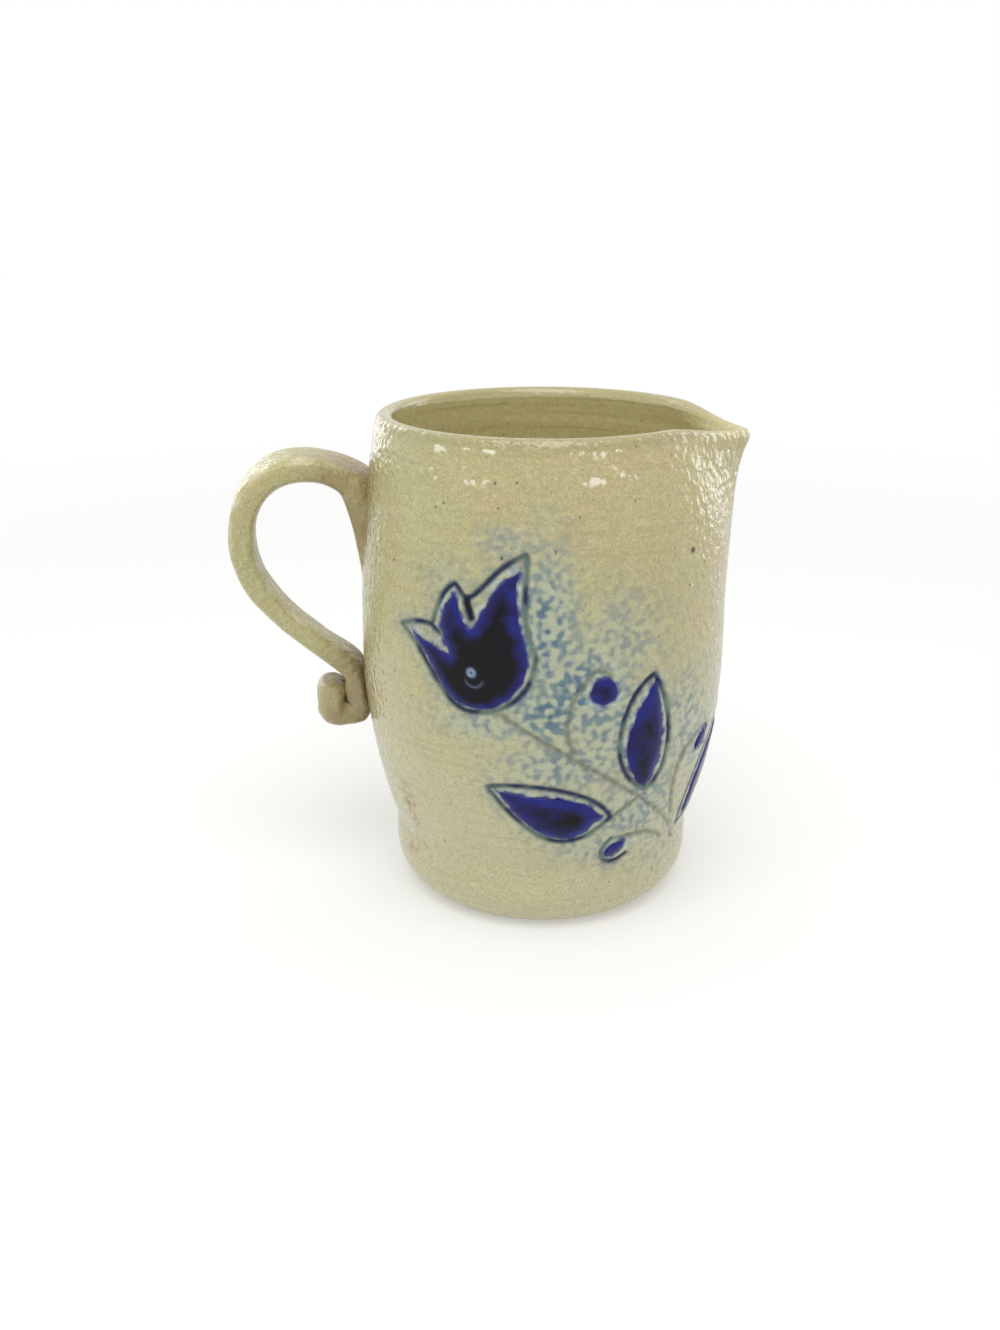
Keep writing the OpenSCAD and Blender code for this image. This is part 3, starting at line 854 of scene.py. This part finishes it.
def make_patch(name, bearing, height, outline, thickness, feather, spacing):
    """A thin layer on the wall, feathered at its edge and closed by a back that is sunk in the wall."""
    low, high = outline.min(0), outline.max(0)
    across = np.arange(low[0], high[0], spacing)
    up = np.arange(low[1], high[1], spacing)
    grid = np.stack(np.meshgrid(across, up), -1).reshape(-1, 2)
    grid = grid[inside(outline, grid)]
    grid = grid[distance_to(outline, grid) > spacing * PATCH_MARGIN]
    flat = [Vector(p) for p in np.vstack([outline, grid])]
    edges = [(i, (i + 1) % len(outline)) for i in range(len(outline))]
    places, _, faces, *_ = delaunay_2d_cdt(flat, edges, [], CDT_INSIDE, CDT_JOIN)
    uv = np.array([tuple(p) for p in places])
    depth = distance_to(outline, uv)
    azimuth, z = on_wall(bearing, height, uv)
    wall = wall_at(z) + out_of_round(azimuth, z)
    front = wall + thickness * (1 - np.exp(-depth / feather)) - PATCH_SINK
    radii = (front, wall - PATCH_BACK)
    sheets = [np.column_stack([r * np.cos(azimuth), r * np.sin(azimuth), z]) for r in radii]
    back = len(uv)
    sides = {(a, b) for face in faces for a, b in zip(face, face[1:] + face[:1])}
    rim = sorted((a, b) for a, b in sides if (b, a) not in sides)
    closed = [list(face) for face in faces] + [[i + back for i in reversed(face)] for face in faces]
    closed += [[b, a, a + back, b + back] for a, b in rim]
    piece = make_mesh(name, np.vstack(sheets), closed)
    return piece, np.tile(uv, (2, 1)), np.tile(depth, 2)


# Distance over which a pool and a slip thin out to their edge, and the spacing of their points
POOL_FEATHER = 0.8
POOL_SPACING = 0.45
SLIP_FEATHER = 2.2
SLIP_SPACING = 0.8
# Pale ring of a burst bubble in the tulip's pool, partly a painted glint: place, radius and half width
EYE = np.array([-0.1, -8.8])
EYE_R = 0.75
EYE_HALF = 0.4
# Fainter pale crescent below the ring, painted light on the bubble's hollow: place from it, radius, half
# width, share and the drop it grows over
CRESCENT = np.array([0.7, -1.2])
CRESCENT_R = 2.3
CRESCENT_HALF = 0.25
CRESCENT_SHARE = 0.3
CRESCENT_DROP = 1.5
# How dark a full pool is at its top and at its bottom
TOP_DEEP = 0.25
BOTTOM_DEEP = 0.8
# How far in from its edge a pool is full, and how much more the tulip took
POOL_FILL = 3.8
TULIP_FILL = 1.75


def make_pool(node):
    """One pool of cobalt, with how deep it looks and the pale ring in the tulip, partly a painted glint."""
    bearing, height, _ = POOLS[node]
    name = node.replace("glaze", "pool")
    outline = pool_outline(node)
    piece, uv, depth = make_patch(name, bearing, height, outline, POOL_T, POOL_FEATHER, POOL_SPACING)
    lowness = (uv[:, 1].max() - uv[:, 1]) / np.ptp(uv[:, 1])
    deep = np.clip(depth / POOL_FILL, 0, 1) * mix(TOP_DEEP, BOTTOM_DEEP, lowness)
    eye = np.zeros(len(uv))
    if node == "tulip_glaze":
        deep = deep * TULIP_FILL
        ring = bell(np.hypot(*(uv - EYE).T), EYE_HALF, EYE_R)
        below = uv - EYE - CRESCENT
        crescent = bell(np.hypot(*below.T), CRESCENT_HALF, CRESCENT_R) * ramp(-below[:, 1], 0, CRESCENT_DROP)
        eye = np.maximum(ring, CRESCENT_SHARE * crescent)
    set_attribute(piece, "depth", deep)
    set_attribute(piece, "eye", eye)
    return piece


OVAL_SIDES = 160


def oval(width, height):
    """An oval outline, squared as the strap is."""
    a = np.linspace(0, 2 * math.pi, OVAL_SIDES, endpoint=False)
    x = width / 2 * squared(np.cos(a), RING_SQUARE)
    y = height / 2 * squared(np.sin(a), RING_SQUARE)
    return np.column_stack([x, y])


def make_slip(name, top, bottom, width):
    """The smear of slip between the strap and the wall."""
    outline = oval(width, top - bottom)
    middle = (top + bottom) / 2
    return make_patch(name, 180 + HANDLE_TURN, middle, outline, SLIP_T, SLIP_FEATHER, SLIP_SPACING)[0]


def srgb(red, green, blue):
    """A linear colour from screen values of 0 to 255."""
    return tuple(((c / 255 + 0.055) / 1.055) ** 2.4 for c in (red, green, blue)) + (1.0,)


class Material:
    """A node material with a few short-hands."""

    def __init__(self, name):
        self.material = bpy.data.materials.new(name)
        self.material.use_nodes = True
        self.tree = self.material.node_tree
        self.shader = self.tree.nodes["Principled BSDF"]
        self.where = self.add("ShaderNodeTexCoord").outputs["Object"]

    def add(self, kind, inputs=None, **settings):
        """A new node with its settings and inputs."""
        node = self.tree.nodes.new(kind)
        for key, value in settings.items():
            setattr(node, key, value)
        for key, value in (inputs or {}).items():
            self.put(node.inputs[key], value)
        return node

    def put(self, socket, value):
        """Links another node's output to a socket, or sets a constant on it."""
        if isinstance(value, bpy.types.NodeSocket):
            self.tree.links.new(value, socket)
        else:
            socket.default_value = value

    def surface(self, inputs):
        """Sets or links inputs of the shader."""
        for key, value in inputs.items():
            self.put(self.shader.inputs[key], value)

    def noise(self, size, detail=2.0, roughness=0.5):
        """Noise with features of about this size in millimetres."""
        inputs = {"Vector": self.where, "Scale": 1 / (size * MM), "Detail": detail, "Roughness": roughness}
        return self.add("ShaderNodeTexNoise", inputs).outputs["Fac"]

    def near(self, place, full, none):
        """1 within a distance of a place in millimetres, and 0 beyond another."""
        away = self.add("ShaderNodeVectorMath", {0: self.where, 1: Vector(place) * MM}, operation="DISTANCE")
        return self.ramp(away.outputs["Value"], none * MM, full * MM)

    def stretched(self, size, scale):
        """Noise that is drawn out along the axes with a small scale."""
        where = self.add("ShaderNodeVectorMath", {0: self.where, 1: scale}, operation="MULTIPLY").outputs[0]
        inputs = {"Vector": where, "Scale": 1 / (size * MM), "Detail": 3.0}
        return self.add("ShaderNodeTexNoise", inputs).outputs["Fac"]

    def dots(self, spacing, full, none, strength):
        """Round dots about this many millimetres apart, with radii as shares of the spacing."""
        cells = self.add("ShaderNodeTexVoronoi", {"Vector": self.where, "Scale": 1 / (spacing * MM)})
        return self.ramp(cells.outputs["Distance"], full, none, strength, 0)

    def ramp(self, value, low, high, to_low=0.0, to_high=1.0):
        """A smooth step from to_low at low to to_high at high."""
        inputs = {"Value": value, "From Min": low, "From Max": high, "To Min": to_low, "To Max": to_high}
        return self.add("ShaderNodeMapRange", inputs, interpolation_type="SMOOTHSTEP").outputs["Result"]

    def math(self, operation, a, b=0.0):
        node = self.add("ShaderNodeMath", operation=operation)
        self.put(node.inputs[0], a)
        self.put(node.inputs[1], b)
        return node.outputs[0]

    def blend(self, factor, a, b):
        node = self.add("ShaderNodeMix", data_type="RGBA")
        self.put(node.inputs["Factor"], factor)
        self.put(node.inputs[6], a)
        self.put(node.inputs[7], b)
        return node.outputs[2]

    def field(self, name):
        """A value that the mesh stores at its points, or 0 where it has none."""
        return self.add("ShaderNodeAttribute", attribute_name=name).outputs["Fac"]

    def bump(self, height, distance, strength=1.0, under=None):
        inputs = {"Height": height, "Distance": distance * MM, "Strength": strength}
        if under:
            inputs["Normal"] = under
        return self.add("ShaderNodeBump", inputs).outputs["Normal"]


# Where the handle meets the wall, round which brown is painted: partly the clay's toasted tone, partly
# painted shade at the joints
JOINT_SIDE = math.radians(180 + HANDLE_TURN)
UPPER_JOINT = (BELLY_R * math.cos(JOINT_SIDE), BELLY_R * math.sin(JOINT_SIDE), ROOT_Z)
LOWER_JOINT = (*UPPER_JOINT[:2], ROLL_Z)
# Distances from the joints between which the painted brown shade fades
UPPER_JOINT_SHADE = (9, 26)
LOWER_JOINT_SHADE = (8, 26)
# Sides between which the clay turns from greener to warmer, heights of the paler foot, which is painted
# light from the floor, and of the dark rim, which is painted shade on its lit top
FLASH_SIDES = (-50 * MM, 40 * MM)
PALE_FOOT_LIGHT_HEIGHTS = (95 * MM, 25 * MM)
RIM_SHADE_HEIGHTS = (123 * MM, 126 * MM)
# Least and most roughness of the glaze on the wall, and of the thinner glaze on the strap
WALL_SHEEN = (0.14, 0.3)
STRAP_SHEEN = (0.24, 0.45)
CLAY = srgb(177, 168, 117)
CLAY_WARM = srgb(181, 166, 117)
CLAY_GREEN = srgb(174, 172, 119)
CLAY_LOW_LIT = srgb(192, 188, 148)
CLAY_INSIDE_LIT = srgb(212, 202, 146)
CLAY_DARK = srgb(142, 134, 92)
CLAY_BROWN_SHADE = srgb(138, 118, 76)
GLAZE_PALE = srgb(232, 228, 205)
IRON = srgb(46, 34, 22)
TOAST = srgb(152, 116, 64)
WASH_PALE = srgb(170, 182, 160)
WASH_BLUE = srgb(46, 90, 118)
BAND_PALE_HIGHLIGHT = srgb(176, 192, 182)
LINE_BLUE = srgb(24, 42, 76)
LINE_OLIVE = srgb(100, 120, 110)
SLIT_INK_SHADE = srgb(8, 12, 36)
STEM_OLIVE = srgb(98, 102, 74)
COBALT = srgb(26, 32, 112)


def clay_color(m, place, peel, grain, turned):
    """Grey-beige clay under the glaze, with its patches, grain, turning marks and iron dust, and a lower
    wall and inside made paler as painted light.
    """
    flash = m.math("ADD", m.ramp(place.outputs["X"], *FLASH_SIDES, -0.12, 0.12), m.noise(24, 3))
    color = m.blend(m.ramp(flash, 0.3, 0.7), CLAY_GREEN, CLAY_WARM)
    color = m.blend(m.ramp(m.noise(9, 3), 0.35, 0.65), color, CLAY)
    # Painted light: the lower wall is paler, standing in for light thrown up by the floor
    color = m.blend(m.ramp(place.outputs["Z"], *PALE_FOOT_LIGHT_HEIGHTS, 0, 0.75), color, CLAY_LOW_LIT)
    # Inside: a yellower glaze, and paler than the outside as painted light in the hollow
    color = m.blend(m.math("MULTIPLY", m.field("inside"), 0.9), color, CLAY_INSIDE_LIT)
    color = m.blend(m.ramp(grain, 0.5, 0.3, 0, 0.45), color, CLAY_DARK)
    color = m.blend(m.ramp(grain, 0.52, 0.72, 0, 0.42), color, GLAZE_PALE)
    color = m.blend(m.ramp(peel, 0.5, 0.7, 0, 0.08), color, GLAZE_PALE)
    color = m.blend(m.ramp(turned, 0.55, 0.75, 0, 0.25), color, CLAY_DARK)
    color = m.blend(m.dots(2.4, 0.05, 0.12, 0.5), color, IRON)
    return m.blend(m.dots(7, 0.025, 0.05, 0.8), color, IRON)


def spray_color(m, color):
    """Thin wash in dabs, the pale band round the pools, partly painted highlight, and the bleeding round
    them, the stems and the inked lines.
    """
    wash = m.field("wash")
    color = m.blend(m.ramp(wash, 0, 0.9, 0, 0.7), color, WASH_PALE)
    pits = m.math("ADD", m.noise(1.8, 0.5), m.ramp(m.noise(6, 2), 0.3, 0.7, -0.07, 0.07))
    dabs = m.ramp(pits, 0.34, 0.7, 0.06, 0.95)
    color = m.blend(m.math("MULTIPLY", wash, dabs), color, WASH_BLUE)
    # Pale band round the pools: paler clay, broken by painted highlight
    broken_highlight = m.ramp(m.noise(3, 2), 0.38, 0.62, 0.1, 0.8)
    color = m.blend(m.math("MULTIPLY", m.field("pale"), broken_highlight), color, BAND_PALE_HIGHLIGHT)
    color = m.blend(m.math("MULTIPLY", m.field("stem"), 0.7), color, STEM_OLIVE)
    fringe = m.math("ADD", m.field("bleed"), m.ramp(m.noise(2.6, 1), 0.3, 0.7, -0.25, 0.25))
    color = m.blend(m.ramp(fringe, 0.15, 0.9), color, COBALT)
    ink = m.blend(m.ramp(m.noise(9, 1), 0.45, 0.62), LINE_BLUE, LINE_OLIVE)
    inked = m.math("MULTIPLY", m.field("line"), m.ramp(m.noise(2.5, 2), 0.3, 0.5, 0.88, 1))
    color = m.blend(inked, color, ink)
    # The tulip's slit: cobalt in the cut, darkened further as painted shadow in the hollow
    return m.blend(m.field("slit"), color, SLIT_INK_SHADE)


def fired_color_and_painted_light(m, place, color):
    """A darker rim that is painted shade, pale runs of thick glaze that are partly painted highlight, and
    what the fire left: toasted patches and iron spots.
    """
    # Painted shade: the rim is darkened to tone down the light on its top
    color = m.blend(m.ramp(place.outputs["Z"], *RIM_SHADE_HEIGHTS, 0, 0.55), color, CLAY_DARK)
    # Pale runs below the rim: thick glaze, partly a painted highlight along the rim's underside
    flow = m.math("ADD", m.stretched(4, (1, 1, 1.5)), m.ramp(m.noise(1.3, 3), 0.2, 0.8, -0.16, 0.16))
    thick_glaze_and_glint = m.ramp(m.math("ADD", flow, m.math("MULTIPLY", m.field("glaze"), 0.2)), 0.67, 0.77)
    thick_glaze_and_glint = m.math("MULTIPLY", thick_glaze_and_glint, m.ramp(m.field("glaze"), 0.1, 0.5, 0, 0.8))
    color = m.blend(thick_glaze_and_glint, color, GLAZE_PALE)
    toasted = m.math("MULTIPLY", m.field("toast"), m.ramp(m.noise(2.2, 3), 0.42, 0.6, 0, 0.9))
    color = m.blend(toasted, color, TOAST)
    return m.blend(m.field("iron"), color, IRON)


def salt_glaze(name, decorated):
    """Grey-beige stoneware under an orange-peel salt glaze."""
    m = Material(name)
    place = m.add("ShaderNodeSeparateXYZ", {0: m.where})
    peel = m.noise(1.9, 1.5, 0.45)
    grain = m.noise(0.5, 3, 0.7)
    turned = m.stretched(1.3, (0.05, 0.05, 1))
    color = clay_color(m, place, peel, grain, turned)
    rough = m.ramp(m.noise(3, 3), 0.3, 0.7, *(WALL_SHEEN if decorated else STRAP_SHEEN))
    if decorated:
        color = fired_color_and_painted_light(m, place, spray_color(m, color))
    else:
        # Pale strap corners: paler glaze on the ridges, partly a painted highlight
        ridge_glaze_highlight = m.math("MULTIPLY", m.field("ridge_glaze_highlight"), m.ramp(m.noise(5, 3), 0.42, 0.65, 0, 0.45))
        color = m.blend(ridge_glaze_highlight, color, GLAZE_PALE)
    # Painted shade round the joints of handle and wall, in a toasted brown
    joint_shade = m.math("MAXIMUM", m.near(UPPER_JOINT, *UPPER_JOINT_SHADE), m.near(LOWER_JOINT, *LOWER_JOINT_SHADE))
    browned_shade = m.math("MULTIPLY", joint_shade, m.ramp(m.noise(8, 3), 0.3, 0.7, 0.45, 0.8))
    color = m.blend(browned_shade, color, CLAY_BROWN_SHADE)
    relief = m.ramp(m.field("inside"), 0, 1, 0.9, 0.2)
    normal = m.bump(grain, 0.05, 0.4, m.bump(turned, 0.2, 0.5, m.bump(peel, 0.75, relief)))
    gloss, coat = 0.5, 0.05
    if decorated:
        gloss = m.ramp(m.field("line"), 0, 1, 0.5, 0.15)
        coat = m.ramp(m.field("line"), 0, 1, 0.3, 0)
    m.surface({"Base Color": color, "Roughness": rough, "Normal": normal, "Specular IOR Level": gloss})
    m.surface({"Coat Weight": coat, "Coat Roughness": 0.15, "Coat Normal": normal})
    return m.material


POOL_EDGE = srgb(30, 36, 116)
POOL_MID = srgb(28, 25, 80)
POOL_DEEP = srgb(4, 6, 14)
POOL_EYE_GLINT = srgb(140, 155, 185)


def cobalt_pool():
    """Thick glossy cobalt, blue at its edge and nearly black where it lies deepest."""
    m = Material("cobalt_pool")
    depth = m.math("ADD", m.field("depth"), m.ramp(m.noise(4, 3), 0.3, 0.7, -0.2, 0.2))
    color = m.blend(m.ramp(depth, 0.02, 0.35), POOL_EDGE, POOL_MID)
    color = m.blend(m.ramp(depth, 0.3, 0.8), color, POOL_DEEP)
    color = m.blend(m.field("eye"), color, POOL_EYE_GLINT)
    rough = m.ramp(m.noise(2, 2), 0.3, 0.7, 0.08, 0.2)
    normal = m.bump(m.noise(2.4, 2), 0.16, 0.6)
    m.surface({"Base Color": color, "Roughness": rough, "Normal": normal, "Specular IOR Level": 0.2})
    return m.material


def dress(piece, material, node):
    """Gives a piece its material and its node's place in the part."""
    piece.data.materials.append(material)
    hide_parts(node)
    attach(piece, "root")


body_glaze = salt_glaze("salt_glaze_body", True)
handle_glaze = salt_glaze("salt_glaze_handle", False)
pool_glaze = cobalt_pool()

dress(make_body(), body_glaze, "body")
dress(make_handle(), handle_glaze, "handle")
upper_slip = make_slip(
    "upper_slip_smear",
    top=ROOT_Z + STRAP_T / 2 + 2 * SLIP_BEAD,
    bottom=ROOT_Z - STRAP_T / 2 - SMEAR_H - 2 * SLIP_BEAD,
    width=ROOT_W + 2 * SLIP_BEAD,
)
dress(upper_slip, handle_glaze, "upper_slip")
lower_slip = make_slip(
    "lower_slip_smear",
    top=ARM_Z + SLIP_BEAD,
    bottom=ROLL_Z - ROLL_R - SLIP_BEAD,
    width=ROLL_W + 2 * SLIP_BEAD,
)
dress(lower_slip, handle_glaze, "lower_slip")
for node in POOLS:
    dress(make_pool(node), pool_glaze, node)


# Stage: a pale floor that fades to white, soft light from above and the photograph's camera
FLOOR_HALF = 4.0
FLOOR_COLOR = (0.9, 0.9, 0.885, 1)
# Share of white glow in the floor near the pitcher, and the distances between which it turns all white
GLOW = 0.33
FADE_FROM = 0.25
FADE_TO = 0.7


def make_floor():
    mesh = bpy.data.meshes.new("floor")
    corners = [(x * FLOOR_HALF, y * FLOOR_HALF, 0) for x, y in ((-1, -1), (1, -1), (1, 1), (-1, 1))]
    mesh.from_pydata(corners, [], [(0, 1, 2, 3)])
    floor = bpy.data.objects.new("floor", mesh)
    bpy.context.scene.collection.objects.link(floor)
    m = Material("floor_paper")
    m.surface({"Base Color": FLOOR_COLOR, "Roughness": 1.0, "Specular IOR Level": 0.0})
    away = m.add("ShaderNodeVectorMath", {0: m.where}, operation="LENGTH").outputs["Value"]
    white = m.add("ShaderNodeEmission", {"Color": (1, 1, 1, 1), "Strength": 1.0})
    fade = m.add("ShaderNodeMixShader")
    m.put(fade.inputs[0], m.ramp(away, FADE_FROM, FADE_TO, GLOW, 1))
    m.put(fade.inputs[1], m.shader.outputs[0])
    m.put(fade.inputs[2], white.outputs[0])
    m.put(m.tree.nodes["Material Output"].inputs["Surface"], fade.outputs[0])
    mesh.materials.append(m.material)


# Direction that the tent is dimmest in, and the cosine to it from which the dimming is full
FRONT = (0.17, -0.94, 0.3)
FRONT_FULL = 0.9


def make_world(bright, front):
    """A tent that lights less from the front, and that the camera and reflections see as white."""
    world = bpy.data.worlds.new("studio")
    world.use_nodes = True
    bpy.context.scene.world = world
    nodes, links = world.node_tree.nodes, world.node_tree.links
    where = nodes.new("ShaderNodeTexCoord")
    facing = nodes.new("ShaderNodeVectorMath")
    facing.operation = "DOT_PRODUCT"
    facing.inputs[1].default_value = FRONT
    links.new(where.outputs["Generated"], facing.inputs[0])
    level = nodes.new("ShaderNodeMapRange")
    for key, value in (("From Min", 0.0), ("From Max", FRONT_FULL), ("To Min", bright), ("To Max", front)):
        level.inputs[key].default_value = value
    links.new(facing.outputs["Value"], level.inputs["Value"])
    path = nodes.new("ShaderNodeLightPath")
    strength = level.outputs["Result"]
    for ray in ("Is Camera Ray", "Is Glossy Ray", "Is Transmission Ray"):
        seen = nodes.new("ShaderNodeMath")
        seen.operation = "MAXIMUM"
        links.new(strength, seen.inputs[0])
        links.new(path.outputs[ray], seen.inputs[1])
        strength = seen.outputs[0]
    links.new(strength, nodes["Background"].inputs["Strength"])
    nodes["Background"].inputs["Color"].default_value = (1, 1, 1, 1)


# Point that most lamps are turned to
LAMP_AIM = (0, 0, 0.07)


def add_softbox(name, place, size, tall, power, aim=LAMP_AIM, gloss_only=False):
    """A soft oval lamp that the camera does not see, and that may show in reflections only."""
    light = bpy.data.lights.new(name, "AREA")
    light.shape = "ELLIPSE"
    light.size = size
    light.size_y = tall
    light.energy = power
    lamp = bpy.data.objects.new(name, light)
    lamp.location = place
    lamp.visible_camera = False
    lamp.visible_diffuse = not gloss_only
    lamp.rotation_mode = "QUATERNION"
    lamp.rotation_quaternion = (Vector(aim) - Vector(place)).to_track_quat("-Z", "Y")
    bpy.context.scene.collection.objects.link(lamp)


CAMERA_AT = Vector((55.117, -312.586, 177.632)) * MM
CAMERA_AIM = Vector((-11.24, -1.29, 58.09)) * MM
CAMERA_ROLL = math.radians(-0.195)
CAMERA_LENS = 33.981
CLIP_START = 0.01


def make_camera():
    data = bpy.data.cameras.new("camera")
    data.lens = CAMERA_LENS
    data.clip_start = CLIP_START
    camera = bpy.data.objects.new("camera", data)
    camera.location = CAMERA_AT
    camera.rotation_mode = "QUATERNION"
    track = (CAMERA_AIM - CAMERA_AT).to_track_quat("-Z", "Y")
    camera.rotation_quaternion = track @ Quaternion((0, 0, 1), CAMERA_ROLL)
    bpy.context.scene.collection.objects.link(camera)
    bpy.context.scene.camera = camera


make_floor()
make_world(bright=0.96, front=0.55)
add_softbox("overhead_softbox", place=(0.05, -0.35, 0.9), size=0.7, tall=0.7, power=4.2, aim=(0, 0, 0.05))
add_softbox("left_card", place=(-0.5, 0.48, 0.2), size=0.16, tall=0.9, power=0.9, gloss_only=True)
add_softbox("right_card", place=(0.5, 0.5, 0.2), size=0.4, tall=0.9, power=1.8, gloss_only=True)
add_softbox("small_glint", place=(-0.45, -0.5, 0.6), size=0.08, tall=0.08, power=0.25)
make_camera()
bpy.context.scene.view_settings.view_transform = "Standard"
